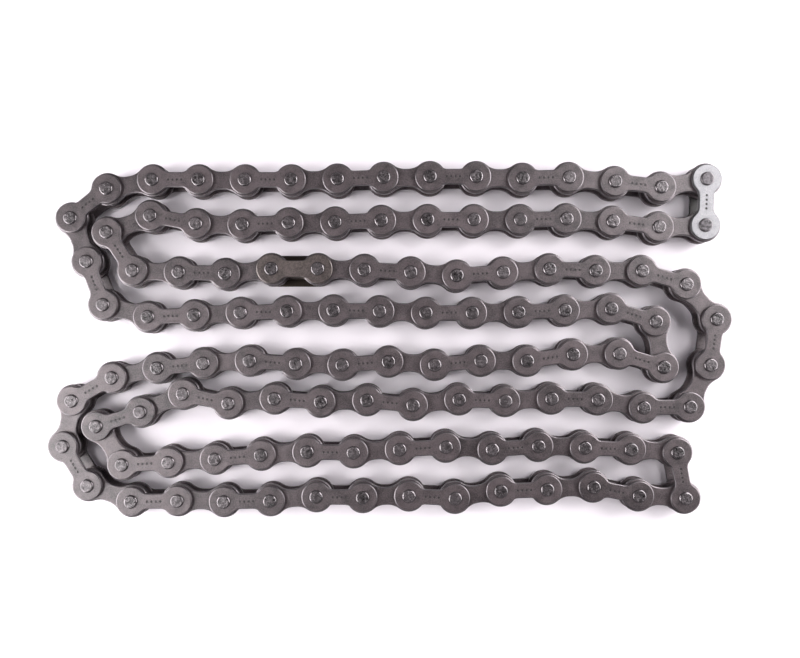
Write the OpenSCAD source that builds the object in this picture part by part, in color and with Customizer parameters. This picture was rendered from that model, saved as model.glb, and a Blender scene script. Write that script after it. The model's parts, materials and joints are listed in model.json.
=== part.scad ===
// Single-speed bicycle chain, a closed loop of 114 links lying on its side in eight rows.
// Odd links are inner links and even links are outer links. Link 1 starts the top row at its left end.

/* [Plates] */
// Distance from one pin to the next
pitch = 12.7; // [12.4:0.1:13.4]
// Diameter of the round ends of an outer plate
outer_head_d = 8.1; // [7.8:0.1:8.5]
// Diameter of the round ends of an inner plate
inner_head_d = 9; // [8.6:0.1:9.1]
// Width of an outer plate at its waist
outer_waist = 4.1; // [3.8:0.1:5]
// Width of an inner plate at its waist
inner_waist = 4.8; // [4.2:0.1:6]
// Width of the plates of the connecting link at their waist
connecting_waist = 4.6; // [4:0.1:5.2]
// Radius between the waist and the round ends of an outer plate
outer_fillet = 2.5; // [1.5:0.1:3]
// Radius between the waist and the round ends of an inner plate
inner_fillet = 5; // [3:0.1:5.5]
// Thickness of an outer plate
outer_t = 1; // [0.8:0.05:1.3]
// Thickness of an inner plate
inner_t = 1; // [0.8:0.05:1.3]
// Side gap between an inner plate and the outer plate beside it
side_gap = 0.15; // [0.1:0.01:0.3]

/* [Rollers and bushings] */
// Clear width between the two inner plates of a link
inner_w = 3.3; // [2.4:0.1:4.8]
// Diameter of the rollers
roller_d = 7.75; // [7.2:0.05:8]
// Side play of a roller between the inner plates, both sides together
roller_play = 0.2; // [0.1:0.02:0.4]
// Gap between a roller and its bushing, all round
roller_gap = 0.08; // [0.05:0.01:0.15]
// Outer diameter of the bushings
bushing_d = 5; // [4.7:0.05:5.4]

/* [Pins] */
// Diameter of the pins
pin_d = 3.6; // [3.3:0.05:3.8]
// Gap between a pin and the bushing it turns in, all round
pin_gap = 0.05; // [0.03:0.01:0.1]
// How far a riveted pin stands proud of an outer plate
pin_proud = 0.5; // [0.3:0.05:0.8]
// Chamfer round the end of a pin
pin_chamfer = 0.25; // [0.1:0.05:0.3]
// Diameter of the shallow cup that riveting leaves in the end of a pin
cup_d = 2.2; // [1.6:0.1:2.6]
// Depth of that cup
cup_depth = 0.12; // [0.05:0.01:0.2]
// Gap left at a pressed or riveted fit, all round
press_gap = 0.01; // [0.005:0.005:0.02]

/* [Spring clip] */
// Width of the clip over its two legs
clip_w = 8.7; // [7:0.1:8.8]
// Thickness of the clip
clip_t = 0.8; // [0.6:0.05:1]
// Diameter of the connecting pins inside their clip grooves
neck_d = 2.8; // [2.4:0.1:3]
// Running gap of the clip in its grooves and against the cover plate
clip_gap = 0.05; // [0.03:0.01:0.1]
// Height of the foot of a connecting pin below its groove
foot_h = 0.4; // [0.3:0.05:0.6]
// Slide of the clip that frees its open end
clip_travel = 4; // [3:0.1:4]
// Width of the slit between the legs
slit_w = 1.4; // [1:0.1:2]
// Length of the legs past the second pin
leg_tip = 2.6; // [2:0.1:3]

/* [Hidden] */
$fn = 64;
gunmetal = [0.36, 0.34, 0.35];
browned = [0.36, 0.31, 0.29];
nickel = [0.78, 0.78, 0.80];
steel = [0.62, 0.60, 0.60];
black = [0.16, 0.14, 0.13];

// Heading of each link in degrees, row by row along the chain. Each pair of rows is joined by its end links.
// Links 6, 8, 10 and 12 lie antiparallel to links 22, 20, 18 and 16, so that facing links swing as one.
row_1 = [11, 0, 0, 0, 1, 2, 1, 0, -2, 1, -5, -7, 10];
end_1 = [-92];
row_2 = [182, 173, 177, 181, 180, 180, 181, 182, 181, 182, 179, 170, 201];
end_2 = [-56];
row_3 = [-2, -2, 6, 0, -1, -3, -4, 4, 4, -2, 0, -17];
end_3 = [-49, -98, -116];
row_4 = [181, 170, 179, 183, 178, 187, 174, 182, 176, 186, 168, 203, 198];
end_4 = [-56];
row_5 = [3, 4, 5, 4, -1, 4, 3, -3, 4, -2, -2, -4];
end_5 = [-80];
row_6 = [177, 169, 183, 182, 189, 177, 182, 179, 185, 181, 179, 181, 160];
end_6 = [122, 79, 30];
row_7 = [12, 6, 3, -4, -1, 4, -4, 5, 0, 8, 1, -17];
end_7 = [100];
row_8 = [164, 182, 182, 181, 180, 178, 179, 181, 182, 183, 182, 165];
end_8 = [111];
laid = concat(row_1, end_1, row_2, end_2, row_3, end_3, row_4, end_4,
              row_5, end_5, row_6, end_6, row_7, end_7, row_8, end_8);

// Pins along the laid links, then the last two links as an elbow that closes the loop
function step(angle) = pitch * [cos(angle), sin(angle)];
walk = [for (i = 0, at = [0, 0]; i <= len(laid);
             at = at + (i < len(laid) ? step(laid[i]) : [0, 0]), i = i + 1) at];
opening = walk[0] - walk[len(laid)];
opening_angle = atan2(opening.y, opening.x);
elbow = acos(norm(opening) / (2 * pitch));
heading = concat(laid, [opening_angle + elbow, opening_angle - elbow]);
loop = concat(walk, [walk[len(laid)] + step(opening_angle + elbow)]);
links = len(heading);
loop_x = [for (p = loop) p.x];
loop_y = [for (p = loop) p.y];
centre = [min(loop_x) + max(loop_x), min(loop_y) + max(loop_y)] / 2;

// Heights from the middle plane of a link to its faces
inner_face = inner_w / 2;
inner_back = inner_face + inner_t;
outer_face = inner_back + side_gap;
outer_back = outer_face + outer_t;
pin_end = outer_back + pin_proud;
groove_h = clip_t + 2 * clip_gap;
foot_end = outer_back + groove_h + foot_h;

// The bright link stands at the end of the top row, and the connecting link is the fourth of row 3
bright = len(row_1) + 1;
connecting = len(concat(row_1, end_1, row_2, end_2)) + 4;

// The connecting pins reach lower than the others. The links beside them climb by a part of their side gap each,
// so the whole chain stands on its pin ends.
climb = 0.8 * side_gap;
function rise(i) = max(0, foot_end - pin_end - climb * abs(i - connecting));

// Links that swing on both sides of the bright link, its two neighbours, and the rest
end_inner = [bright - 1, bright + 1];
swing_outer = [for (k = [-8, -6, -4, -2, 2, 4, 6, 8]) bright + k];
swing_inner = [for (k = [-7, -5, -3, 3, 5, 7]) bright + k];
function others(list, taken) = [for (i = list) if (len(search(i, taken)) == 0) i];
fixed_outer = others([2 : 2 : links], concat(swing_outer, [bright, connecting]));
fixed_inner = others([1 : 2 : links], concat(swing_inner, end_inner));
spin_inner = concat(swing_inner, end_inner);

// Frame of link i: its first pin at the origin, its second pin at +X, its middle plane at zero
module at_link(i) {
    place = loop[i - 1] - centre;
    translate([place.x, place.y, pin_end + rise(i)]) rotate(heading[i - 1]) children();
}

// Figure-eight outline: two round ends and a straight waist with a fillet at each of its four corners.
// A fillet is at most a little less than the arc that runs from end to end. The straight cut stays a hair above
// the lowest point of the fillets, so that the two cross and don't just touch.
module plate_outline(head_d, waist, fillet) {
    head_r = head_d / 2;
    half = waist / 2;
    arc_r = (pow(pitch / 2, 2) + pow(half, 2) - pow(head_r, 2)) / (2 * (head_r - half));
    fillet_r = min(fillet, 0.9 * arc_r);
    hair = fillet_r / 80;
    fillet_y = half - hair + fillet_r;
    reach = sqrt(pow(head_r + fillet_r, 2) - pow(fillet_y, 2));
    meet = head_r / (head_r + fillet_r);
    web = [pitch - 2 * reach * meet, 2 * fillet_y * meet];
    for (x = [0, pitch]) translate([x, 0]) circle(head_r);
    difference() {
        translate([pitch / 2, 0]) square(web, center = true);
        for (x = [reach, pitch - reach]) for (y = [-fillet_y, fillet_y]) translate([x, y]) circle(fillet_r);
        translate([reach, half]) square([pitch - 2 * reach, fillet_r]);
        translate([reach, -half - fillet_r]) square([pitch - 2 * reach, fillet_r]);
    }
}

// One plate with a hole at each end, from height bottom upwards
module plate(head_d, waist, fillet, thickness, hole_d, bottom) {
    translate([0, 0, bottom]) linear_extrude(thickness) difference() {
        plate_outline(head_d, waist, fillet);
        for (x = [0, pitch]) translate([x, 0]) circle(d = hole_d);
    }
}

// The three kinds of plate from height bottom upwards
module outer_plate(bottom) {
    plate(outer_head_d, outer_waist, outer_fillet, outer_t, pin_d + 2 * press_gap, bottom);
}

module inner_plate(bottom) {
    plate(inner_head_d, inner_waist, inner_fillet, inner_t, bushing_d + 2 * press_gap, bottom);
}

module joining_plate(bottom) {
    plate(outer_head_d, connecting_waist, outer_fillet, outer_t, pin_d + 2 * press_gap, bottom);
}

// Half of a riveted end, from the axis outwards, with its cup and its chamfer
function riveted_end(z) = [
    [0, z - cup_depth],
    [cup_d / 2 - cup_depth, z - cup_depth],
    [cup_d / 2, z],
    [pin_d / 2 - pin_chamfer, z],
    [pin_d / 2, z - pin_chamfer]];
function mirrored(half) = [for (k = [len(half) - 1 : -1 : 0]) [half[k].x, -half[k].y]];

module riveted_pin() {
    half = riveted_end(pin_end);
    rotate_extrude() polygon(concat(half, mirrored(half)));
}

// A connecting pin: riveted at the top, with a clip groove and a foot at the bottom
module grooved_pin() {
    neck_r = neck_d / 2;
    groove_end = outer_back + groove_h;
    rotate_extrude() polygon(concat(riveted_end(pin_end), [
        [pin_d / 2, -outer_back],
        [neck_r, -outer_back],
        [neck_r, -groove_end],
        [pin_d / 2, -groove_end],
        [pin_d / 2, -foot_end + foot_h / 2],
        [pin_d / 2 - foot_h / 2, -foot_end],
        [0, -foot_end]]));
}

module outer_pair(i) {
    at_link(i) for (z = [-outer_back, outer_face]) outer_plate(z);
}

module inner_pair(i) {
    at_link(i) for (z = [-inner_back, inner_face]) inner_plate(z);
}

module pin_pair(i) {
    at_link(i) for (x = [0, pitch]) translate([x, 0, 0]) riveted_pin();
}

module bushing_pair(i) {
    at_link(i) for (x = [0, pitch]) translate([x, 0, 0]) difference() {
        cylinder(h = 2 * inner_back, d = bushing_d, center = true);
        cylinder(h = 3 * inner_back, d = pin_d + 2 * pin_gap, center = true);
    }
}

// A roller on bushing end 0 or 1 of link i, with its rims rounded off by a chamfer
module roller_on(i, end) {
    half = (inner_w - roller_play) / 2;
    bore_r = bushing_d / 2 + roller_gap;
    outer_r = roller_d / 2;
    rim = (outer_r - bore_r) / 4;
    at_link(i) translate([end * pitch, 0, 0]) rotate_extrude() polygon([
        [bore_r, -half], [outer_r - rim, -half], [outer_r, rim - half],
        [outer_r, half - rim], [outer_r - rim, half], [bore_r, half]]);
}

module outer_plates() {
    color(gunmetal) for (i = fixed_outer) outer_pair(i);
}

module inner_plates() {
    color(gunmetal) for (i = fixed_inner) inner_pair(i);
}

module pins() {
    color(steel) for (i = fixed_outer) pin_pair(i);
}

module bushings() {
    color(steel) for (i = fixed_inner) bushing_pair(i);
}

module rollers() {
    color(steel) for (i = fixed_inner) for (end = [0, 1]) roller_on(i, end);
}

module connecting_plate() {
    color(browned) at_link(connecting) joining_plate(outer_face);
}

module connecting_pins() {
    color(steel) at_link(connecting) for (x = [0, pitch]) translate([x, 0, 0]) grooved_pin();
}

module cover_plate() {
    color(browned) at_link(connecting) joining_plate(-outer_back);
}

// The clip: a round closed end on the second pin, two legs past the first pin, a keyhole slot and a flared mouth
module clip_outline() {
    slot = neck_d + 2 * clip_gap;
    leg_end = pitch + leg_tip;
    flare = (clip_w - slot) / 4;
    difference() {
        union() {
            circle(d = clip_w);
            translate([0, -clip_w / 2]) square([leg_end - flare, clip_w]);
            for (y = [-1, 1]) translate([leg_end - flare, y * (clip_w / 2 - flare)]) circle(flare);
            for (y = [-1, 1]) translate([leg_end - 2 * flare, y * (clip_w / 2 - flare) - flare])
                square([flare, 2 * flare]);
        }
        circle(d = slot);
        translate([0, -slot / 2]) square([clip_travel, slot]);
        translate([clip_travel, 0]) circle(d = slot);
        translate([0, -slit_w / 2]) square([leg_end, slit_w]);
        translate([pitch, 0]) circle(d = slot);
        translate([pitch, -slot / 2]) square([2 * leg_tip, slot]);
    }
}

module spring_clip() {
    color(black) at_link(connecting) translate([pitch, 0, -outer_back - clip_gap - clip_t]) rotate(180)
        linear_extrude(clip_t) clip_outline();
}

module bright_plates() {
    color(nickel) outer_pair(bright);
}

module bright_pins() {
    color(steel) pin_pair(bright);
}

module end_inner_plates() {
    color(gunmetal) for (i = end_inner) inner_pair(i);
}

module end_bushings() {
    color(steel) for (i = end_inner) bushing_pair(i);
}

module swing_outer_plates(i) {
    color(gunmetal) outer_pair(i);
}

module swing_pins(i) {
    color(steel) pin_pair(i);
}

module swing_inner_plates(i) {
    color(gunmetal) inner_pair(i);
}

module swing_bushings(i) {
    color(steel) bushing_pair(i);
}

module single_roller(i, end) {
    color(steel) roller_on(i, end);
}

outer_plates();
inner_plates();
pins();
bushings();
rollers();
connecting_plate();
connecting_pins();
cover_plate();
spring_clip();
bright_plates();
bright_pins();
end_inner_plates();
end_bushings();
for (i = swing_outer) {
    swing_outer_plates(i);
    swing_pins(i);
}
for (i = swing_inner) {
    swing_inner_plates(i);
    swing_bushings(i);
}
for (i = spin_inner) {
    single_roller(i, 0);
    single_roller(i, 1);
}
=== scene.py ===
"""Dresses a folded single-speed bicycle chain.

Its pieces are rolled plates, riveted pins, rollers, bushings and a spring clip.
"""

import json
import math

import bmesh
import bpy
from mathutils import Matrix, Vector
from mathutils.geometry import delaunay_2d_cdt


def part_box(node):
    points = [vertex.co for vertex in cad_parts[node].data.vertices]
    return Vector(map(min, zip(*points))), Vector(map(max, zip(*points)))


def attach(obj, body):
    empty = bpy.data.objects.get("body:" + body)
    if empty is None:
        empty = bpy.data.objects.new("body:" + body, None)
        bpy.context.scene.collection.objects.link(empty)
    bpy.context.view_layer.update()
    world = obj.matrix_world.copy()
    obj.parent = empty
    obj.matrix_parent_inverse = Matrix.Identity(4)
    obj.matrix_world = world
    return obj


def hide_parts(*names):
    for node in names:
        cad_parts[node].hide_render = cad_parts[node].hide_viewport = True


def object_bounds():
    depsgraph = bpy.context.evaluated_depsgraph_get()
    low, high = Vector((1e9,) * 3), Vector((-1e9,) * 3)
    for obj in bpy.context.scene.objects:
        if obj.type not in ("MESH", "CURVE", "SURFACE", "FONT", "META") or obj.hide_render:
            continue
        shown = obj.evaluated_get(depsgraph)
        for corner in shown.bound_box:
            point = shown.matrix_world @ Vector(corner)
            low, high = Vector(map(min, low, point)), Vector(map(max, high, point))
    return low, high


bl_info = {
    "name": "Bicycle Chain",
    "version": (1, 0, 0),
    "blender": (4, 5, 0),
    "location": "View3D > Sidebar > Chain",
    "description": "Finishes the plates, pins, rollers, bushings and spring clip of a folded chain",
    "category": "Object",
}

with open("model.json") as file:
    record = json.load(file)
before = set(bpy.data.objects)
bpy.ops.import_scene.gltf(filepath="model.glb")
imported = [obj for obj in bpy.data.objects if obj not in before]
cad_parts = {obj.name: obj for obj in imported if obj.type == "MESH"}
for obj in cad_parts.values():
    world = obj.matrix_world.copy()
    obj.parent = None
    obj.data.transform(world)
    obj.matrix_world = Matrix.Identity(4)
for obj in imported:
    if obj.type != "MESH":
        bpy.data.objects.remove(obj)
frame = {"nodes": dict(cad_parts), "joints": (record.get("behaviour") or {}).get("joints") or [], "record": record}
cad_low, cad_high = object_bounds()

MM = 0.001
WELD = 0.001 * MM
PHOTO_SIZE = (800, 658)
# Pixel where the camera's axis meets the picture
PHOTO_AXIS = (397, 343)

# Straight steps along each curve
HEAD_STEPS = 28
FILLET_STEPS = 6
HOLE_STEPS = 20
MARK_STEPS = 10
PIN_STEPS = 24
ROLLER_STEPS = 28
BUSHING_STEPS = 20
CLIP_NOSE_STEPS = 12
CLIP_BEND_STEPS = 8
CLIP_SEAT_STEPS = 6

# Angles in degrees past which an edge stays crisp
PLATE_CREASE = 19
TURNED_CREASE = 50
CLIP_CREASE = 40

# First seed of the random tones of each kind of piece
OUTER_SEED = 0
INNER_SEED = 100
PIN_SEED = 200
BUSHING_SEED = 300
ROLLER_SEED = 400
BRIGHT_SEED = 500
CONNECTING_SEED = 600

# Slopes in degrees along the rolled rim of a plate. The punched edge below it is straight.
RIM_SLOPES = (0, 17, 34, 50)
# Share of a punch mark's radius that its floor keeps
MARK_FLOOR = 0.6
# Turn of a round piece in radians for each millimetre along X and Y
TURN_X, TURN_Y = 7, 13

# Weights of clouds, grain and a piece's own tone in the shade of steel
CLOUD_WEIGHT = 0.7
GRAIN_WEIGHT = 1.1
TONE_WEIGHT = 0.15
# What is added to their sum, and the sum that lies midway between dark and light
SHADE_LIFT = 0.15
SHADE_MIDDLE = 1.08
# Wear that lays all of the metal bare
BARE_WEAR = 0.6
# Grain at the polished and at the matt end of the roughness, and what a worn rim takes from it
POLISHED_GRAIN, MATT_GRAIN = 0.2, 0.8
RIM_POLISH = -0.35
# Strength of the grain's relief, and what a worn rim takes from it
RELIEF = 0.6
RIM_RELIEF = -0.5

# Lights of the tent, in metres. Of a pair at the left and right, the right one is given.
TOP_HEIGHT, TOP_SIZE = 0.75, (0.9, 0.9)
FILL_REACH, FILL_HEIGHT, FILL_SIZE = 0.5, 0.35, (0.6, 0.2)
SOFTBOX_X, SOFTBOX_Y, SOFTBOX_HEIGHT, SOFTBOX_SIZE = 0.30, 0.12, 0.33, (0.2, 0.2)
# Both softboxes stand a little towards the far side
SOFTBOX_FAR = 0.03
SOFTBOX_AIM_X, SOFTBOX_AIM_Y = 0.10, 0.03
WALL_X, WALL_Y, WALL_HEIGHT, WALL_SIZE = 0.26, 0.06, 0.10, (0.36, 0.16)
CARD_HALF = 3.0

RECORD = frame["record"]
BODY_OF = {node: body for body, nodes in RECORD["behaviour"]["bodies"].items() for node in nodes}
PIVOT = {joint["name"]: Vector(joint["pos_m"]) for joint in frame["joints"] if "pos_m" in joint}
MIDDLE_Z = (cad_low.z + cad_high.z) / 2

# Nodes of each kind. Nodes of swinging links end in the number of their link.
OUTER_PLATE_NODES = [n for n in sorted(frame["nodes"]) if n.startswith("outer_plates")]
INNER_PLATE_NODES = [n for n in sorted(frame["nodes"]) if "inner_plates" in n]
PIN_NODES = [n for n in sorted(frame["nodes"]) if n.startswith("pins")]
BUSHING_NODES = [n for n in sorted(frame["nodes"]) if "bushings" in n]
ROLLER_NODES = [n for n in sorted(frame["nodes"]) if n.startswith("roller")]


def box_size(node):
    """Width, depth and height of a CAD node, in metres."""
    low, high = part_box(node)
    return high - low


# Driving sizes of the chain
PITCH = (PIVOT["pivot_7"] - PIVOT["pivot_6"]).length


def head_size(node):
    """Diameter of the round ends of a link's plates, from their box, whichever way the link lies."""
    size = box_size(node)
    return (size.x + size.y - math.sqrt(2 * PITCH ** 2 - (size.x - size.y) ** 2)) / 2


OUTER_HEAD_D = head_size("outer_plates_8")
INNER_HEAD_D = head_size("inner_plates_9")
PLATE_T = box_size("connecting_plate").z
PIN_D = box_size("pins_8").y
PIN_LENGTH = box_size("pins_8").z
ROLLER_D = box_size("roller_7_a").x
ROLLER_LENGTH = box_size("roller_7_a").z
BUSHING_LENGTH = box_size("bushings_7").z
CLIP_W = box_size("spring_clip").y
CLIP_T = box_size("spring_clip").z


def linear(code):
    """Linear colour with alpha of an sRGB hex value."""
    channels = [int(code[k:k + 2], 16) / 255 for k in (1, 3, 5)]
    return [c / 12.92 if c <= 0.04045 else ((c + 0.055) / 1.055) ** 2.4 for c in channels] + [1.0]


class ChainPlates(bpy.types.PropertyGroup):
    """Sizes of the plates"""

    outer_waist: bpy.props.FloatProperty(
        name="Outer waist", description="Width of an outer plate at its waist",
        default=4.1 * MM, unit="LENGTH", precision=5)
    inner_waist: bpy.props.FloatProperty(
        name="Inner waist", description="Width of an inner plate at its waist",
        default=4.8 * MM, unit="LENGTH", precision=5)
    connecting_waist: bpy.props.FloatProperty(
        name="Connecting waist", description="Width of the plates of the connecting link at their waist",
        default=4.6 * MM, unit="LENGTH", precision=5)
    outer_fillet: bpy.props.FloatProperty(
        name="Outer fillet", description="Radius between the waist and the round ends of an outer plate",
        default=2.5 * MM, unit="LENGTH", precision=5)
    inner_fillet: bpy.props.FloatProperty(
        name="Inner fillet", description="Radius between the waist and the round ends of an inner plate",
        default=5 * MM, unit="LENGTH", precision=5)
    rim: bpy.props.FloatProperty(
        name="Rolled rim", description="Radius that tumbling leaves round the outside face of a plate",
        default=0.3 * MM, unit="LENGTH", precision=5)
    mark: bpy.props.FloatProperty(
        name="Punch mark", description="Radius of the plain punch marks on the waist of an outer plate",
        default=0.38 * MM, unit="LENGTH", precision=5)
    mark_step: bpy.props.FloatProperty(
        name="Punch step", description="Distance between two punch marks",
        default=1.2 * MM, unit="LENGTH", precision=5)
    mark_depth: bpy.props.FloatProperty(
        name="Punch depth", description="Depth of a punch mark",
        default=0.12 * MM, unit="LENGTH", precision=5)


class ChainTurnedPieces(bpy.types.PropertyGroup):
    """Sizes of the pins, bushings and rollers"""

    face_d: bpy.props.FloatProperty(
        name="Pin face", description="Diameter of the flat face that riveting leaves on a pin",
        default=2.9 * MM, unit="LENGTH", precision=5)
    spread: bpy.props.FloatProperty(
        name="Pin spread", description="How far riveting spreads the end of a pin beyond its shank",
        default=0.1 * MM, unit="LENGTH", precision=5)
    neck_d: bpy.props.FloatProperty(
        name="Clip groove", description="Diameter of a connecting pin inside its clip groove",
        default=2.8 * MM, unit="LENGTH", precision=5)
    foot: bpy.props.FloatProperty(
        name="Pin foot", description="Height of the foot of a connecting pin below its groove",
        default=0.4 * MM, unit="LENGTH", precision=5)
    pin_gap: bpy.props.FloatProperty(
        name="Pin gap", description="Running gap between a pin and its bushing",
        default=0.05 * MM, unit="LENGTH", precision=5)
    bushing_d: bpy.props.FloatProperty(
        name="Bushing", description="Outer diameter of a bushing",
        default=5 * MM, unit="LENGTH", precision=5)
    roller_gap: bpy.props.FloatProperty(
        name="Roller gap", description="Running gap between a roller and its bushing",
        default=0.08 * MM, unit="LENGTH", precision=5)
    roller_rim: bpy.props.FloatProperty(
        name="Roller rim", description="Radius round the rims of a roller",
        default=0.32 * MM, unit="LENGTH", precision=5)


class ChainClip(bpy.types.PropertyGroup):
    """Sizes of the spring clip"""

    slot: bpy.props.FloatProperty(
        name="Slot", description="Width of the slot where it sits in the pin grooves",
        default=2.9 * MM, unit="LENGTH", precision=5)
    slit: bpy.props.FloatProperty(
        name="Slit", description="Width of the slit between the two legs",
        default=1.4 * MM, unit="LENGTH", precision=5)
    travel: bpy.props.FloatProperty(
        name="Travel", description="Length of the slot that lets the clip slide off",
        default=4 * MM, unit="LENGTH", precision=5)
    edge: bpy.props.FloatProperty(
        name="Edge", description="Round edge of the stamped clip",
        default=0.12 * MM, unit="LENGTH", precision=5)


class ChainColours(bpy.types.PropertyGroup):
    """Main colours of the finishes, the card and the tent"""

    plate: bpy.props.FloatVectorProperty(
        name="Plates", description="Pale tone of the phosphated plates",
        default=linear("#615659"), size=4, min=0, max=1, subtype="COLOR")
    browned: bpy.props.FloatVectorProperty(
        name="Connecting plates", description="Pale tone of the browned plates of the connecting link",
        default=linear("#685c5a"), size=4, min=0, max=1, subtype="COLOR")
    nickel: bpy.props.FloatVectorProperty(
        name="Bright plates", description="Pale tone of the nickel plated plates",
        default=linear("#9e9c9f"), size=4, min=0, max=1, subtype="COLOR")
    pin: bpy.props.FloatVectorProperty(
        name="Pins", description="Pale tone of the riveted pins",
        default=linear("#635c5f"), size=4, min=0, max=1, subtype="COLOR")
    bright_pin: bpy.props.FloatVectorProperty(
        name="Bright pins", description="Pale tone of the pins of the bright link",
        default=linear("#6c676b"), size=4, min=0, max=1, subtype="COLOR")
    bushing: bpy.props.FloatVectorProperty(
        name="Bushings", description="Pale tone of the bushings",
        default=linear("#655e5d"), size=4, min=0, max=1, subtype="COLOR")
    roller: bpy.props.FloatVectorProperty(
        name="Rollers", description="Pale tone of the rollers",
        default=linear("#524b4c"), size=4, min=0, max=1, subtype="COLOR")
    clip: bpy.props.FloatVectorProperty(
        name="Spring clip", description="Pale tone of the blackened clip",
        default=linear("#413831"), size=4, min=0, max=1, subtype="COLOR")
    card: bpy.props.FloatVectorProperty(
        name="Card", description="Pale tone of the card under the chain",
        default=linear("#f7f0f6"), size=4, min=0, max=1, subtype="COLOR")
    tent: bpy.props.FloatVectorProperty(
        name="Tent", description="Colour of the light from all round",
        default=linear("#f3edf6"), size=4, min=0, max=1, subtype="COLOR")


class ChainStage(bpy.types.PropertyGroup):
    """Camera, light and floor"""

    camera_height: bpy.props.FloatProperty(
        name="Camera height", description="Height of the camera above the floor",
        default=0.22386, unit="LENGTH", precision=5)
    lens: bpy.props.FloatProperty(
        name="Lens", description="Focal length on a 36 mm sensor", default=35.5, unit="CAMERA")
    camera_x: bpy.props.FloatProperty(
        name="Camera X", description="Place of the camera along the rows",
        default=1.968 * MM, unit="LENGTH", precision=5)
    camera_y: bpy.props.FloatProperty(
        name="Camera Y", description="Place of the camera across the rows",
        default=-1.083 * MM, unit="LENGTH", precision=5)
    top_power: bpy.props.FloatProperty(
        name="Top light", description="Power of the large soft light above the camera, which no gleam shows",
        default=0.1, unit="POWER")
    left_power: bpy.props.FloatProperty(
        name="Left softbox", description="Power of the softbox over the left end",
        default=0.1, unit="POWER")
    right_power: bpy.props.FloatProperty(
        name="Right softbox", description="Power of the softbox over the right end",
        default=0.09, unit="POWER")
    softbox_spread: bpy.props.FloatProperty(
        name="Softbox spread", description="Angle that the grid of a softbox leaves open",
        default=math.radians(40), subtype="ANGLE")
    wall_power: bpy.props.FloatProperty(
        name="Tent walls", description="Power of each low wall at the left and right, for the bright rims",
        default=0.86, unit="POWER")
    side_power: bpy.props.FloatProperty(
        name="Side lights", description="Power of each fill at the left and right, which no gleam shows",
        default=1.3, unit="POWER")
    far_power: bpy.props.FloatProperty(
        name="Far light", description="Power of the fill beyond the top row, which no gleam shows",
        default=0.4, unit="POWER")
    near_power: bpy.props.FloatProperty(
        name="Near light", description="Power of the fill below the bottom row, which no gleam shows",
        default=0.3, unit="POWER")
    fill: bpy.props.FloatProperty(
        name="Fill", description="Strength of the light from all round", default=0.075)


def add_node(tree, kind, inputs=None, **settings):
    """Adds a node, sets its settings, and links or sets its inputs."""
    node = tree.nodes.new(kind)
    for name, value in settings.items():
        setattr(node, name, value)
    for socket, value in (inputs or {}).items():
        if isinstance(value, bpy.types.NodeSocket):
            tree.links.new(value, node.inputs[socket])
        else:
            node.inputs[socket].default_value = value
    return node


def per_metre(feature_mm):
    """Texture scale that gives features of that size in millimetres."""
    return 1 / (feature_mm * MM)


def start_material(name, metallic):
    """A new material, its tree and its shader."""
    material = bpy.data.materials.new(name)
    material.use_nodes = True
    tree = material.node_tree
    shader = tree.nodes["Principled BSDF"]
    shader.inputs["Metallic"].default_value = metallic
    return material, tree, shader


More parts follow.
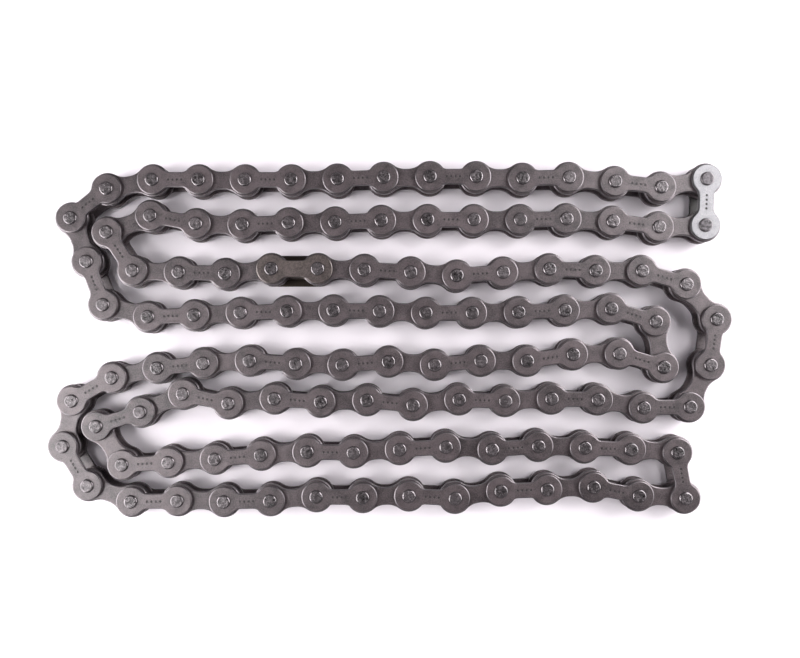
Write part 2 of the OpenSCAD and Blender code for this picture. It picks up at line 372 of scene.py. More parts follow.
def steel_surface(name, dark, light, bare, painted_shade, rough, metallic, gleam,
                  blotch_mm=2.5, grain_mm=0.35, grain_depth=0.05, calm=0.5):
    """Tumbled and oiled steel: cloudy colour, fine grain and scuffs, bare worn rims, and a dark painted shade in
    the floors of punch marks and on the lower bright plate.

    light is a linear colour, and the other colours are sRGB hex values. rough is the range of roughness
    from polished to matt, gleam is the specular level of the oil film, and calm is the width of noise that
    takes the colour from dark to light.
    """
    material, tree, shader = start_material(name, metallic)
    shader.inputs["Specular IOR Level"].default_value = gleam
    place = add_node(tree, "ShaderNodeTexCoord").outputs["Object"]
    blotch = add_node(tree, "ShaderNodeTexNoise", {
        "Vector": place, "Scale": per_metre(blotch_mm), "Detail": 4.0, "Roughness": 0.6})
    # Real tumbling grain is finer than a pixel, so it is drawn coarser to show
    grain = add_node(tree, "ShaderNodeTexNoise", {
        "Vector": place, "Scale": per_metre(grain_mm), "Detail": 3.0, "Roughness": 0.7})
    tone = add_node(tree, "ShaderNodeAttribute", attribute_name="tone").outputs["Fac"]
    worn = add_node(tree, "ShaderNodeAttribute", attribute_name="rim").outputs["Fac"]
    # Where painted shade is set: the floors of punch marks and the lower bright plate
    shade_mask = add_node(tree, "ShaderNodeAttribute", attribute_name="painted_shade").outputs["Fac"]
    cloud = add_node(tree, "ShaderNodeMath", {
        0: blotch.outputs["Fac"], 1: CLOUD_WEIGHT, 2: SHADE_LIFT}, operation="MULTIPLY_ADD")
    speck = add_node(tree, "ShaderNodeMath", {
        0: grain.outputs["Fac"], 1: GRAIN_WEIGHT, 2: cloud.outputs[0]}, operation="MULTIPLY_ADD")
    shade = add_node(tree, "ShaderNodeMath", {
        0: tone, 1: TONE_WEIGHT, 2: speck.outputs[0]}, operation="MULTIPLY_ADD")
    level = add_node(tree, "ShaderNodeMapRange", {
        "Value": shade.outputs[0],
        "From Min": SHADE_MIDDLE - calm / 2, "From Max": SHADE_MIDDLE + calm / 2})
    body = add_node(tree, "ShaderNodeMix", {
        "Factor": level.outputs[0], 6: linear(dark), 7: light}, data_type="RGBA")
    wear = add_node(tree, "ShaderNodeMath", {0: worn, 1: grain.outputs["Fac"]}, operation="MULTIPLY")
    worn_body = add_node(tree, "ShaderNodeMix", {
        "Factor": wear.outputs[0], 6: body.outputs[2], 7: linear(bare)}, data_type="RGBA")
    # Painted shade: where it is set, the colour turns to the dark shade colour
    colour = add_node(tree, "ShaderNodeMix", {
        "Factor": shade_mask, 6: worn_body.outputs[2], 7: linear(painted_shade)}, data_type="RGBA")
    tree.links.new(colour.outputs[2], shader.inputs["Base Color"])
    metal = add_node(tree, "ShaderNodeMapRange", {
        "Value": wear.outputs[0], "From Max": BARE_WEAR, "To Min": metallic, "To Max": 1.0})
    tree.links.new(metal.outputs[0], shader.inputs["Metallic"])
    sheen = add_node(tree, "ShaderNodeMath", {
        0: worn, 1: RIM_POLISH, 2: grain.outputs["Fac"]}, operation="MULTIPLY_ADD")
    roughness = add_node(tree, "ShaderNodeMapRange", {
        "Value": sheen.outputs[0], "From Min": POLISHED_GRAIN, "From Max": MATT_GRAIN,
        "To Min": rough[0], "To Max": rough[1]})
    tree.links.new(roughness.outputs[0], shader.inputs["Roughness"])
    # A worn rim is polished, so its grain is shallow
    relief = add_node(tree, "ShaderNodeMath", {
        0: worn, 1: RIM_RELIEF, 2: RELIEF}, operation="MULTIPLY_ADD")
    bump = add_node(tree, "ShaderNodeBump", {
        "Height": grain.outputs["Fac"], "Strength": relief.outputs[0], "Distance": grain_depth * MM})
    tree.links.new(bump.outputs[0], shader.inputs["Normal"])
    return material


def phosphated_steel(colours):
    """Plate steel, phosphated and tumbled in oil: a brownish grey under a clear satin film."""
    return steel_surface(
        "phosphated plate steel", dark="#221c1f", light=colours.plate, bare="#979195", painted_shade="#1e1a1b",
        rough=(0.34, 0.50), metallic=0.25, gleam=0.9)


def browned_steel(colours):
    """Plate steel of the connecting link, browned by heat: a little warmer and lighter."""
    return steel_surface(
        "browned plate steel", dark="#2b2423", light=colours.browned, bare="#8f8785", painted_shade="#1e1a1a",
        rough=(0.34, 0.50), metallic=0.25, gleam=0.8)


def nickel_plate(colours):
    """Bright nickel plate, scuffed by handling: pale with small grey clouds and a dark rim."""
    return steel_surface(
        "nickel plate", dark="#737176", light=colours.nickel, bare="#1d1d1d", painted_shade="#3a3838",
        rough=(0.40, 0.55), metallic=0.5, gleam=0.5,
        blotch_mm=1.6, grain_depth=0.01, calm=0.65)


def hardened_pin_steel(colours):
    """Hardened pin steel: its riveted face is dark and hammered, its shoulder polished."""
    return steel_surface(
        "hardened pin steel", dark="#1a1718", light=colours.pin, bare="#a59ea1", painted_shade="#2b2627",
        rough=(0.17, 0.34), metallic=0.42, gleam=0.8,
        blotch_mm=0.8, grain_mm=0.9, grain_depth=0.35, calm=0.45)


def scuffed_pin_steel(colours):
    """Pin steel of the bright link, scuffed paler than the others by riveting."""
    return steel_surface(
        "scuffed pin steel", dark="#1c191b", light=colours.bright_pin, bare="#a09a9d", painted_shade="#4b4546",
        rough=(0.28, 0.46), metallic=0.5, gleam=0.5,
        blotch_mm=0.7, grain_mm=0.8, grain_depth=0.4, calm=0.4)


def rolled_bushing_steel(colours):
    """Bushing steel rolled from strip, dark with oil."""
    return steel_surface(
        "rolled bushing steel", dark="#4a4443", light=colours.bushing, bare="#8d8584", painted_shade="#2b2727",
        rough=(0.25, 0.45), metallic=0.7, gleam=0.5)


def ground_roller_steel(colours):
    """Roller steel, ground and oiled: smooth and dark grey."""
    return steel_surface(
        "ground roller steel", dark="#332e2f", light=colours.roller, bare="#8f8788", painted_shade="#2b2727",
        rough=(0.22, 0.40), metallic=0.7, gleam=0.5)


def blackened_spring_steel(colours):
    """Spring steel blackened in hot oil: near black with a faint olive gleam."""
    return steel_surface(
        "blackened spring steel", dark="#2a2320", light=colours.clip, bare="#5c524b", painted_shade="#1a1613",
        rough=(0.28, 0.45), metallic=0.3, gleam=0.6)


def figure_eight(head_d, waist, fillet, inset):
    """Outline of a plate, shrunk by inset, with its pins on the X axis at half a pitch from the middle."""
    head_r, head_x = head_d / 2, PITCH / 2
    fillet_y = waist / 2 + fillet
    reach = math.sqrt((head_r + fillet) ** 2 - fillet_y ** 2)
    fillet_x = head_x - reach
    meet = math.pi - math.atan2(fillet_y, reach)
    quarter = math.pi / 2
    head_angles = spread_angles(-meet, meet, HEAD_STEPS)[:-1]
    fillet_angles = spread_angles(meet - math.pi, -quarter, FILLET_STEPS)
    right_end = arc(head_x, 0, head_r - inset, head_angles)
    upper_right = arc(fillet_x, fillet_y, fillet + inset, fillet_angles)
    upper_left = [(-x, y) for x, y in reversed(upper_right[1:])]
    half = right_end + upper_right + upper_left
    return half + [(-x, -y) for x, y in half]


def spread_angles(start, end, steps):
    """Angles from start to end in equal steps, both included."""
    return [start + (end - start) * k / steps for k in range(steps + 1)]


def arc(x, y, radius, angles):
    """Points at those angles on a circle."""
    return [(x + radius * math.cos(a), y + radius * math.sin(a)) for a in angles]


def circle(x, y, radius, steps):
    """Points round a circle."""
    turn = 2 * math.pi / steps
    return [(x + radius * math.cos(turn * k), y + radius * math.sin(turn * k)) for k in range(steps)]


def add_loop(bm, points, z):
    """New vertices at those points, at height z."""
    return [bm.verts.new((x, y, z)) for x, y in points]


def join_loops(bm, upper, lower):
    """Smooth quads between two closed loops of equal length, facing out where the loops run to the left."""
    count = len(upper)
    for k in range(count):
        after = (k + 1) % count
        bm.faces.new((upper[k], lower[k], lower[after], upper[after])).smooth = True


def fill_between(bm, outer, holes):
    """Triangles between an outer loop and the loops inside it, all at one height, facing up."""
    loops = [outer] + holes
    verts = [v for loop in loops for v in loop]
    edges, first = [], 0
    for loop in loops:
        edges += [(first + k, first + (k + 1) % len(loop)) for k in range(len(loop))]
        first += len(loop)
    flat = [v.co.xy for v in verts]
    inside_only, tolerance = 1, WELD * MM
    made = delaunay_2d_cdt(flat, edges, [list(range(len(outer)))], inside_only, tolerance)
    triangles, sources = made[2], made[3]
    middles = [(sum((v.co for v in loop), Vector()) / len(loop)).xy for loop in holes]
    # A triangle whose middle lies within a hole is left out
    slack = 0.99
    reaches = [max((v.co.xy - m).length for v in loop) * slack for loop, m in zip(holes, middles)]
    for triangle in triangles:
        corners = [verts[sources[k][0]] for k in triangle]
        centre = sum((c.co for c in corners), Vector()).xy / 3
        if all((centre - m).length > reach for m, reach in zip(middles, reaches)):
            bm.faces.new(corners)


def finish_mesh(bm, name, sharp_angle):
    """Turns faces outwards, keeps edges past a sharp angle crisp and returns the mesh."""
    bmesh.ops.recalc_face_normals(bm, faces=bm.faces)
    mesh = bpy.data.meshes.new(name)
    bm.to_mesh(mesh)
    bm.free()
    mesh.set_sharp_from_angle(angle=math.radians(sharp_angle))
    return mesh


def plate_mesh(name, plates, shape, hole_d, marks):
    """One plate, outside face up: rolled rim, two holes and a plain punch mark at each place in marks.

    shape holds the diameter of the round ends, the waist and the fillet between them.
    """
    bm = bmesh.new()
    rim_layer = bm.verts.layers.float.new("rim")
    painted_shade_layer = bm.verts.layers.float.new("painted_shade")
    top, rim = PLATE_T / 2, plates.rim
    # A narrow flat inside the rim keeps its gleam off the face, and the lower edge is only just broken
    flat, foot = rim * 1.2, rim / 5
    slopes = [math.radians(a) for a in RIM_SLOPES]
    roll = rim / math.sin(slopes[-1])
    profile = [(flat, top)]
    profile += [(rim - roll * math.sin(a), top - roll * (1 - math.cos(a))) for a in slopes]
    profile += [(0, foot - top), (foot, -top)]
    loops = [add_loop(bm, figure_eight(*shape, inset), z) for inset, z in profile]
    for upper, lower in zip(loops, loops[1:]):
        join_loops(bm, upper, lower)
    worn_loops = loops[2:5]
    for loop in worn_loops:
        for vert in loop:
            vert[rim_layer] = 1.0
    hole_points = [circle(x, 0, hole_d / 2, HOLE_STEPS) for x in (-PITCH / 2, PITCH / 2)]
    upper_holes = [add_loop(bm, points, top) for points in hole_points]
    lower_holes = [add_loop(bm, points, -top) for points in hole_points]
    for upper, lower in zip(upper_holes, lower_holes):
        join_loops(bm, lower, upper)
    mark_loops = []
    for x, y in marks:
        edge = add_loop(bm, circle(x, y, plates.mark, MARK_STEPS), top)
        floor = add_loop(bm, circle(x, y, plates.mark * MARK_FLOOR, MARK_STEPS), top - plates.mark_depth)
        # The floor of each punch mark carries painted shade
        for vert in floor:
            vert[painted_shade_layer] = 1.0
        join_loops(bm, edge, floor)
        bm.faces.new(floor)
        mark_loops.append(edge)
    fill_between(bm, loops[0], upper_holes + mark_loops)
    fill_between(bm, loops[-1], lower_holes)
    return finish_mesh(bm, name, PLATE_CREASE)


def turned_mesh(name, profile, steps, ring, worn=()):
    """A turned piece from its profile of radius and height. A ring has a closed profile and no middle.

    worn lists the profile points that are polished.
    """
    bm = bmesh.new()
    rim_layer = bm.verts.layers.float.new("rim")
    loops = []
    for k, (radius, z) in enumerate(profile):
        loop = [bm.verts.new((0, 0, z))] if radius == 0 else add_loop(bm, circle(0, 0, radius, steps), z)
        for vert in loop:
            vert[rim_layer] = float(k in worn)
        loops.append(loop)
    closing = loops[:1] if ring else []
    for upper, lower in zip(loops, loops[1:] + closing):
        if len(upper) == 1 or len(lower) == 1:
            tip, loop = (upper[0], lower) if len(upper) == 1 else (lower[0], upper)
            for k in range(steps):
                bm.faces.new((tip, loop[k], loop[(k + 1) % steps]))
        else:
            join_loops(bm, upper, lower)
    return finish_mesh(bm, name, TURNED_CREASE)


def riveted_end(turned, height):
    """Half profile of a riveted pin end: a flat face and a rounded shoulder, spread over the plate."""
    face = turned.face_d / 2
    shoulder = PIN_D / 2 + turned.spread - face
    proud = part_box("pins_8")[1].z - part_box("outer_plates_8")[1].z
    bends = [math.radians(a) for a in (30, 60, 90)]
    # A ring just inside the edge keeps the shading of the face flat
    inner = face * 0.9
    profile = [(0, height), (inner, height), (face, height)]
    profile += [(face + shoulder * math.sin(a), height - shoulder * (1 - math.cos(a))) for a in bends]
    profile += [(PIN_D / 2 + turned.spread, height - proud), (PIN_D / 2, height - proud)]
    return profile


def pin_mesh(turned):
    """A riveted pin, the same at both ends."""
    half = riveted_end(turned, PIN_LENGTH / 2)
    profile = half + [(radius, -z) for radius, z in reversed(half)]
    last = len(profile) - 1
    shoulders = (3, 4, last - 3, last - 4)
    return turned_mesh("riveted pin", profile, PIN_STEPS, ring=False, worn=shoulders)


def connecting_pin_mesh(turned):
    """A connecting pin: riveted above, with a clip groove and a foot below."""
    length = box_size("connecting_pins").z
    radius, neck = PIN_D / 2, turned.neck_d / 2
    groove_low = turned.foot - length / 2
    groove_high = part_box("cover_plate")[0].z - sum(v.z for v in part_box("connecting_pins")) / 2
    profile = riveted_end(turned, length / 2)
    profile += [
        (radius, groove_high), (neck, groove_high), (neck, groove_low), (radius, groove_low),
        (radius, turned.foot / 2 - length / 2), (radius - turned.foot / 2, -length / 2), (0, -length / 2)]
    shoulder = (3, 4)
    return turned_mesh("connecting pin", profile, PIN_STEPS, ring=False, worn=shoulder)


def roller_mesh(turned):
    """A roller: a thick ring with round rims."""
    outer, bore = ROLLER_D / 2, turned.bushing_d / 2 + turned.roller_gap
    half, rim = ROLLER_LENGTH / 2, turned.roller_rim
    bends = [math.radians(a) for a in (0, 45, 90)]
    upper = [(outer - rim + rim * math.sin(a), half - rim + rim * math.cos(a)) for a in bends]
    profile = [(bore, half)] + upper + [(r, -z) for r, z in reversed(upper)] + [(bore, -half)]
    rims = (1, 2, 5, 6)
    return turned_mesh("roller", profile, ROLLER_STEPS, ring=True, worn=rims)


def bushing_mesh(turned):
    """A bushing: a thin tube pressed through both inner plates."""
    outer, bore, half = turned.bushing_d / 2, PIN_D / 2 + turned.pin_gap, BUSHING_LENGTH / 2
    profile = [(bore, half), (outer, half), (outer, -half), (bore, -half)]
    return turned_mesh("bushing", profile, BUSHING_STEPS, ring=True)


def clip_outline(clip):
    """Outline of the clip with its closed end round the middle and its legs along -X."""
    outer, slot, slit = CLIP_W / 2, clip.slot / 2, clip.slit / 2
    length = box_size("spring_clip").x - outer
    tip = (outer - slot) / 2
    slant = math.asin(slit / slot)
    quarter = math.pi / 2

    nose = arc(0, 0, outer, spread_angles(0, quarter, CLIP_NOSE_STEPS))
    leg_tip = arc(tip - length, outer - tip, tip, spread_angles(quarter, 3 * quarter, CLIP_BEND_STEPS))
    far_seat = arc(-PITCH, 0, slot, spread_angles(quarter, slant, CLIP_SEAT_STEPS))
    near_seat = arc(-clip.travel, 0, slot, spread_angles(math.pi - slant, quarter, CLIP_SEAT_STEPS))
    nose_seat = arc(0, 0, slot, spread_angles(quarter, 0, CLIP_BEND_STEPS))
    upper = nose + leg_tip + far_seat + near_seat + nose_seat[:-1]
    inner_end = [nose_seat[-1]]
    return upper + inner_end + [(x, -y) for x, y in reversed(upper[1:])]


def clip_mesh(clip):
    """The stamped clip with round edges, closed end at its own middle."""
    bm = bmesh.new()
    rim_layer = bm.verts.layers.float.new("rim")
    points = clip_outline(clip)
    upper, lower = add_loop(bm, points, CLIP_T / 2), add_loop(bm, points, -CLIP_T / 2)
    join_loops(bm, upper, lower)
    bm.faces.new(upper)
    bm.faces.new(lower)
    bmesh.ops.recalc_face_normals(bm, faces=bm.faces)
    # The level edges where a flat face meets the stamped side
    rims = [e for e in bm.edges
            if e.calc_face_angle(0) > 1 and abs(e.verts[0].co.z - e.verts[1].co.z) < WELD]
    rounded = bmesh.ops.bevel(bm, geom=rims, offset=clip.edge, segments=2, profile=0.5, affect="EDGES")
    for vert in rounded["verts"]:
        vert[rim_layer] = 1.0
    bmesh.ops.triangulate(bm, faces=[f for f in bm.faces if len(f.verts) > 4])
    for face in bm.faces:
        face.smooth = True
    return finish_mesh(bm, "spring clip", CLIP_CREASE)


def solids_of(node):
    """Middle and heading of each separate solid of a CAD node."""
    bm = bmesh.new()
    bm.from_mesh(frame["nodes"][node].data)
    bmesh.ops.remove_doubles(bm, verts=bm.verts, dist=WELD)
    solids, seen = [], set()
    for start in bm.faces:
        if start in seen:
            continue
        seen.add(start)
        group, waiting = [], [start]
        while waiting:
            face = waiting.pop()
            group.append(face)
            for edge in face.edges:
                for other in edge.link_faces:
                    if other not in seen:
                        seen.add(other)
                        waiting.append(other)
        areas = [face.calc_area() for face in group]
        spots = [face.calc_center_median() for face in group]
        middle = sum((spot * area for spot, area in zip(spots, areas)), Vector()) / sum(areas)
        heights = [vert.co.z for face in group for vert in face.verts]
        middle.z = (min(heights) + max(heights)) / 2
        xx = sum(area * (spot.x - middle.x) ** 2 for spot, area in zip(spots, areas))
        yy = sum(area * (spot.y - middle.y) ** 2 for spot, area in zip(spots, areas))
        xy = sum(area * (spot.x - middle.x) * (spot.y - middle.y) for spot, area in zip(spots, areas))
        solids.append((middle, math.atan2(2 * xy, xx - yy) / 2))
    bm.free()
    return solids


def pieces_on_points_tree():
    """Geometry nodes that put a piece on every point, turned as its point says and in a random tone."""
    tree = bpy.data.node_groups.new("Pieces on points", "GeometryNodeTree")
    sockets = tree.interface
    sockets.new_socket("Points", in_out="INPUT", socket_type="NodeSocketGeometry")
    sockets.new_socket("Piece", in_out="INPUT", socket_type="NodeSocketObject")
    sockets.new_socket("Finish", in_out="INPUT", socket_type="NodeSocketMaterial")
    sockets.new_socket("Tone seed", in_out="INPUT", socket_type="NodeSocketInt")
    sockets.new_socket("Pieces", in_out="OUTPUT", socket_type="NodeSocketGeometry")
    given = add_node(tree, "NodeGroupInput").outputs
    points = add_node(tree, "GeometryNodeMeshToPoints", {"Mesh": given["Points"]})
    piece = add_node(tree, "GeometryNodeObjectInfo", {"Object": given["Piece"], "As Instance": True})
    turn = add_node(tree, "GeometryNodeInputNamedAttribute", {"Name": "turn"}, data_type="FLOAT_VECTOR")
    rotation = add_node(tree, "FunctionNodeEulerToRotation", {"Euler": turn.outputs["Attribute"]})
    placed = add_node(tree, "GeometryNodeInstanceOnPoints", {
        "Points": points.outputs[0], "Instance": piece.outputs["Geometry"], "Rotation": rotation.outputs[0]})
    spread = add_node(tree, "FunctionNodeRandomValue", {"Seed": given["Tone seed"]}, data_type="FLOAT")
    toned = add_node(tree, "GeometryNodeStoreNamedAttribute", {
        "Geometry": placed.outputs[0], "Name": "tone", "Value": spread.outputs[1]},
        data_type="FLOAT", domain="INSTANCE")
    real = add_node(tree, "GeometryNodeRealizeInstances", {"Geometry": toned.outputs[0]})
    coated = add_node(tree, "GeometryNodeSetMaterial", {
        "Geometry": real.outputs[0], "Material": given["Finish"]})
    add_node(tree, "NodeGroupOutput", {"Pieces": coated.outputs[0]})
    return tree


def place_pieces(node, mesh, finish, turns, seed):
    """Puts the mesh on each solid of a CAD node as one piece, hides the node and hangs the piece on its body.

    turns gives the turn of a solid from its middle and heading, and seed draws the tones.
    """
    scene = bpy.context.scene
    pattern = bpy.data.objects.new(f"{node}_pattern", mesh)
    scene.collection.objects.link(pattern)
    spots = bpy.data.meshes.new(f"{node}_spots")
    solids = solids_of(node)
    spots.from_pydata([middle for middle, heading in solids], [], [])
    turn = spots.attributes.new("turn", "FLOAT_VECTOR", "POINT")
    for item, solid in zip(turn.data, solids):
        item.vector = turns(*solid)
    piece = bpy.data.objects.new(f"{node}_finished", spots)
    scene.collection.objects.link(piece)
    modifier = piece.modifiers.new("Pieces on points", "NODES")
    modifier.node_group = bpy.data.node_groups.get("Pieces on points") or pieces_on_points_tree()
    settings = {"Piece": pattern, "Finish": finish, "Tone seed": seed}
    for socket in modifier.node_group.interface.items_tree:
        if socket.name in settings:
            modifier[socket.identifier] = settings[socket.name]
    depsgraph = bpy.context.evaluated_depsgraph_get()
    real = bpy.data.meshes.new_from_object(piece.evaluated_get(depsgraph), preserve_all_data_layers=True,
                                           depsgraph=depsgraph)
    real.name = f"{node}_finished"
    piece.modifiers.clear()
    piece.data = real
    bpy.data.meshes.remove(spots)
    bpy.data.objects.remove(pattern)
    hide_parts(node)
    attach(piece, BODY_OF[node])
    return piece


def plate_turn(middle, heading):
    """Turn of a plate: outside face up above the chain's middle, and down below it."""
    return (0 if middle.z > MIDDLE_Z else math.pi, 0, heading)


def pin_turn(middle, heading):
    """Turn of a round piece: a different one at each place, so that no two hammered faces look alike."""
    return (0, 0, (middle.x * TURN_X + middle.y * TURN_Y) / MM)


def punch_marks(plates):
    """Places of the punch marks: one row of four."""
    return [(plates.mark_step * x, 0) for x in (-1.5, -0.5, 0.5, 1.5)]


def shade_lower_plate(mesh):
    """Paints shade on the plate on the floor side: it takes the same dark painted shade colour as the floors of
    the punch marks.
    """
    oil = mesh.attributes["painted_shade"].data
    for vert in mesh.vertices:
        if vert.co.z < MIDDLE_Z:
            oil[vert.index].value = 1.0


class CHAIN_OT_outer_plates(bpy.types.Operator):
    """Finishes the outer plates, marked with plain punch marks"""

    bl_idname = "chain.outer_plates"
    bl_label = "Outer plates"

    def execute(self, context):
        plates = context.scene.chain_plates
        shape = (OUTER_HEAD_D, plates.outer_waist, plates.outer_fillet)
        mesh = plate_mesh("outer plate", plates, shape, PIN_D, punch_marks(plates))
        finish = phosphated_steel(context.scene.chain_colours)
        for seed, node in enumerate(OUTER_PLATE_NODES, OUTER_SEED):
            place_pieces(node, mesh, finish, plate_turn, seed)
        return {"FINISHED"}


class CHAIN_OT_inner_plates(bpy.types.Operator):
    """Finishes the inner plates"""

    bl_idname = "chain.inner_plates"
    bl_label = "Inner plates"

    def execute(self, context):
        plates, turned = context.scene.chain_plates, context.scene.chain_turned
        shape = (INNER_HEAD_D, plates.inner_waist, plates.inner_fillet)
        mesh = plate_mesh("inner plate", plates, shape, turned.bushing_d, [])
        finish = bpy.data.materials["phosphated plate steel"]
        for seed, node in enumerate(INNER_PLATE_NODES, INNER_SEED):
            place_pieces(node, mesh, finish, plate_turn, seed)
        return {"FINISHED"}


class CHAIN_OT_pins(bpy.types.Operator):
    """Finishes the riveted pins"""

    bl_idname = "chain.pins"
    bl_label = "Pins"

    def execute(self, context):
        mesh = pin_mesh(context.scene.chain_turned)
        finish = hardened_pin_steel(context.scene.chain_colours)
        for seed, node in enumerate(PIN_NODES, PIN_SEED):
            place_pieces(node, mesh, finish, pin_turn, seed)
        return {"FINISHED"}


class CHAIN_OT_bushings(bpy.types.Operator):
    """Finishes the bushings"""

    bl_idname = "chain.bushings"
    bl_label = "Bushings"

    def execute(self, context):
        mesh = bushing_mesh(context.scene.chain_turned)
        finish = rolled_bushing_steel(context.scene.chain_colours)
        for seed, node in enumerate(BUSHING_NODES, BUSHING_SEED):
            place_pieces(node, mesh, finish, pin_turn, seed)
        return {"FINISHED"}


class CHAIN_OT_rollers(bpy.types.Operator):
    """Finishes the rollers"""

    bl_idname = "chain.rollers"
    bl_label = "Rollers"

    def execute(self, context):
        mesh = roller_mesh(context.scene.chain_turned)
        finish = ground_roller_steel(context.scene.chain_colours)
        for seed, node in enumerate(ROLLER_NODES, ROLLER_SEED):
            place_pieces(node, mesh, finish, pin_turn, seed)
        return {"FINISHED"}


class CHAIN_OT_bright_link(bpy.types.Operator):
    """Finishes the nickel plated plates and the paler pins of the bright link"""

    bl_idname = "chain.bright_link"
    bl_label = "Bright link"

    def execute(self, context):
        scene = context.scene
        plates, colours = scene.chain_plates, scene.chain_colours
        shape = (OUTER_HEAD_D, plates.outer_waist, plates.outer_fillet)
        mesh = plate_mesh("bright plate", plates, shape, PIN_D, punch_marks(plates))
        pair = place_pieces("bright_plates", mesh, nickel_plate(colours), plate_turn, BRIGHT_SEED)
        # The lower plate of the bright link gets painted shade
        shade_lower_plate(pair.data)
        pin, finish = pin_mesh(scene.chain_turned), scuffed_pin_steel(colours)
        place_pieces("bright_pins", pin, finish, pin_turn, BRIGHT_SEED + 1)
        return {"FINISHED"}


class CHAIN_OT_connecting_link(bpy.types.Operator):
    """Finishes the connecting link: its plate, cover plate, grooved pins and spring clip"""

    bl_idname = "chain.connecting_link"
    bl_label = "Connecting link"

    def execute(self, context):
        scene = context.scene
        plates = scene.chain_plates
        shape = (OUTER_HEAD_D, plates.connecting_waist, plates.outer_fillet)
        plain = plate_mesh("connecting plate", plates, shape, PIN_D, [])
        browned = browned_steel(scene.chain_colours)
        place_pieces("connecting_plate", plain, browned, plate_turn, CONNECTING_SEED)
        place_pieces("cover_plate", plain, browned, plate_turn, CONNECTING_SEED + 1)
        grooved = connecting_pin_mesh(scene.chain_turned)
        pin_steel = bpy.data.materials["hardened pin steel"]
        place_pieces("connecting_pins", grooved, pin_steel, pin_turn, CONNECTING_SEED + 2)
        low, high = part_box("spring_clip")
        nose = Vector((high.x - CLIP_W / 2, (low.y + high.y) / 2, (low.z + high.z) / 2))
        mesh = clip_mesh(scene.chain_clip)
        for vert in mesh.vertices:
            vert.co += nose
        mesh.materials.append(blackened_spring_steel(scene.chain_colours))
        clip = bpy.data.objects.new("spring_clip_finished", mesh)
        scene.collection.objects.link(clip)
        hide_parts("spring_clip")
        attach(clip, BODY_OF["spring_clip"])
        return {"FINISHED"}


def white_card(colours):
    """Matt white card: an even white that takes soft shadows, with faint wide clouds."""
    material, tree, shader = start_material("matt white card", 0.0)
    place = add_node(tree, "ShaderNodeTexCoord").outputs["Object"]
    cloud = add_node(tree, "ShaderNodeTexNoise", {"Vector": place, "Scale": per_metre(40), "Detail": 2.0})
    colour = add_node(tree, "ShaderNodeMix", {
        "Factor": cloud.outputs["Fac"], 6: linear("#f3ebf2"), 7: colours.card}, data_type="RGBA")
    tree.links.new(colour.outputs[2], shader.inputs["Base Color"])
    shader.inputs["Roughness"].default_value = 0.85
    shader.inputs["Specular IOR Level"].default_value = 0.1
    return material


def add_area_light(scene, name, place, aim, size, power, gleams, spread=math.pi):
    """A rectangular light that gleams in the metal or only fills."""
    data = bpy.data.lights.new(name, "AREA")
    data.shape = "RECTANGLE"
    data.size, data.size_y = size
    data.energy = power
    data.spread = spread
    light = bpy.data.objects.new(name, data)
    light.location = place
    light.rotation_euler = (Vector(aim) - Vector(place)).to_track_quat("-Z", "Y").to_euler()
    light.visible_glossy = gleams
    scene.collection.objects.link(light)


def add_lights(scene, stage):
    """The lights of the tent: fills above and on four sides, and a softbox and a low wall at each end."""
    middle = (0, 0, 0)
    top = (0, 0, TOP_HEIGHT)
    far, near = (0, FILL_REACH, FILL_HEIGHT), (0, -FILL_REACH, FILL_HEIGHT)
    add_area_light(scene, "top light", top, middle, TOP_SIZE, stage.top_power, gleams=False)
    add_area_light(scene, "far light", far, middle, FILL_SIZE, stage.far_power, gleams=False)
    add_area_light(scene, "near light", near, middle, FILL_SIZE, stage.near_power, gleams=False)
    for side, turn, power in (("left", -1, stage.left_power), ("right", 1, stage.right_power)):
        fill = (turn * FILL_REACH, 0, FILL_HEIGHT)
        softbox = (turn * SOFTBOX_X, SOFTBOX_FAR + turn * SOFTBOX_Y, SOFTBOX_HEIGHT)
        end = (turn * SOFTBOX_AIM_X, turn * SOFTBOX_AIM_Y, 0)
        wall = (turn * WALL_X, turn * WALL_Y, WALL_HEIGHT)
        add_area_light(scene, f"{side} light", fill, middle, FILL_SIZE, stage.side_power, gleams=False)
        add_area_light(scene, f"{side} softbox", softbox, end, SOFTBOX_SIZE, power, gleams=True,
                       spread=stage.softbox_spread)
        add_area_light(scene, f"{side} wall", wall, middle, WALL_SIZE, stage.wall_power, gleams=True)


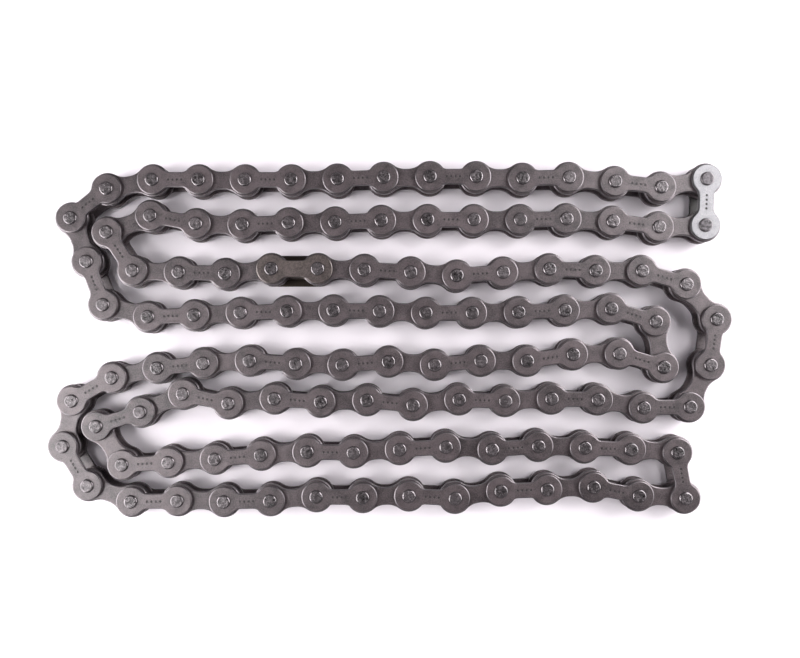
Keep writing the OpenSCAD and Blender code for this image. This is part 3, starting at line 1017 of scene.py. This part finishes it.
class CHAIN_OT_stage(bpy.types.Operator):
    """Adds the white card, the soft lights and the camera above the chain"""

    bl_idname = "chain.stage"
    bl_label = "Stage"

    def execute(self, context):
        scene = context.scene
        stage = scene.chain_stage
        colours = scene.chain_colours
        mesh = bpy.data.meshes.new("card")
        half = CARD_HALF
        corners = [(-half, -half, 0), (half, -half, 0), (half, half, 0), (-half, half, 0)]
        mesh.from_pydata(corners, [], [(0, 1, 2, 3)])
        mesh.materials.append(white_card(colours))
        card = bpy.data.objects.new("card", mesh)
        scene.collection.objects.link(card)
        add_lights(scene, stage)
        world = bpy.data.worlds.new("lavender tent")
        world.use_nodes = True
        sky = world.node_tree.nodes["Background"]
        sky.inputs["Color"].default_value = colours.tent
        sky.inputs["Strength"].default_value = stage.fill
        scene.world = world
        data = bpy.data.cameras.new("camera above")
        data.lens = stage.lens
        data.shift_x = (PHOTO_SIZE[0] / 2 - PHOTO_AXIS[0]) / PHOTO_SIZE[0]
        data.shift_y = (PHOTO_AXIS[1] - PHOTO_SIZE[1] / 2) / PHOTO_SIZE[0]
        data.clip_start = 0.01
        camera = bpy.data.objects.new("camera above", data)
        camera.location = (stage.camera_x, stage.camera_y, stage.camera_height)
        scene.collection.objects.link(camera)
        scene.camera = camera
        scene.view_settings.view_transform = "Standard"
        return {"FINISHED"}


class CHAIN_PT_sidebar(bpy.types.Panel):
    """Lists the steps, sizes and colours of the chain"""

    bl_idname = "CHAIN_PT_sidebar"
    bl_label = "Bicycle chain"
    bl_space_type = "VIEW_3D"
    bl_region_type = "UI"
    bl_category = "Chain"

    def draw(self, context):
        for step in STEPS:
            self.layout.operator(step.bl_idname)
        for name in GROUPS:
            group = getattr(context.scene, name)
            for setting in group.__annotations__:
                self.layout.prop(group, setting)


GROUPS = {
    "chain_plates": ChainPlates,
    "chain_turned": ChainTurnedPieces,
    "chain_clip": ChainClip,
    "chain_colours": ChainColours,
    "chain_stage": ChainStage,
}
STEPS = (
    CHAIN_OT_outer_plates,
    CHAIN_OT_inner_plates,
    CHAIN_OT_pins,
    CHAIN_OT_bushings,
    CHAIN_OT_rollers,
    CHAIN_OT_bright_link,
    CHAIN_OT_connecting_link,
    CHAIN_OT_stage,
)


def register():
    """Registers the settings, the steps and the panel."""
    for name, group in GROUPS.items():
        bpy.utils.register_class(group)
        setattr(bpy.types.Scene, name, bpy.props.PointerProperty(type=group))
    for step in STEPS:
        bpy.utils.register_class(step)
    bpy.utils.register_class(CHAIN_PT_sidebar)


def unregister():
    """Takes everything out again, in the opposite order."""
    bpy.utils.unregister_class(CHAIN_PT_sidebar)
    for step in reversed(STEPS):
        bpy.utils.unregister_class(step)
    for name, group in reversed(GROUPS.items()):
        delattr(bpy.types.Scene, name)
        bpy.utils.unregister_class(group)


def main():
    """Makes the whole chain and its stage."""
    register()
    for step in STEPS:
        area, name = step.bl_idname.split(".")
        getattr(getattr(bpy.ops, area), name)()


if __name__ == "__main__":
    main()
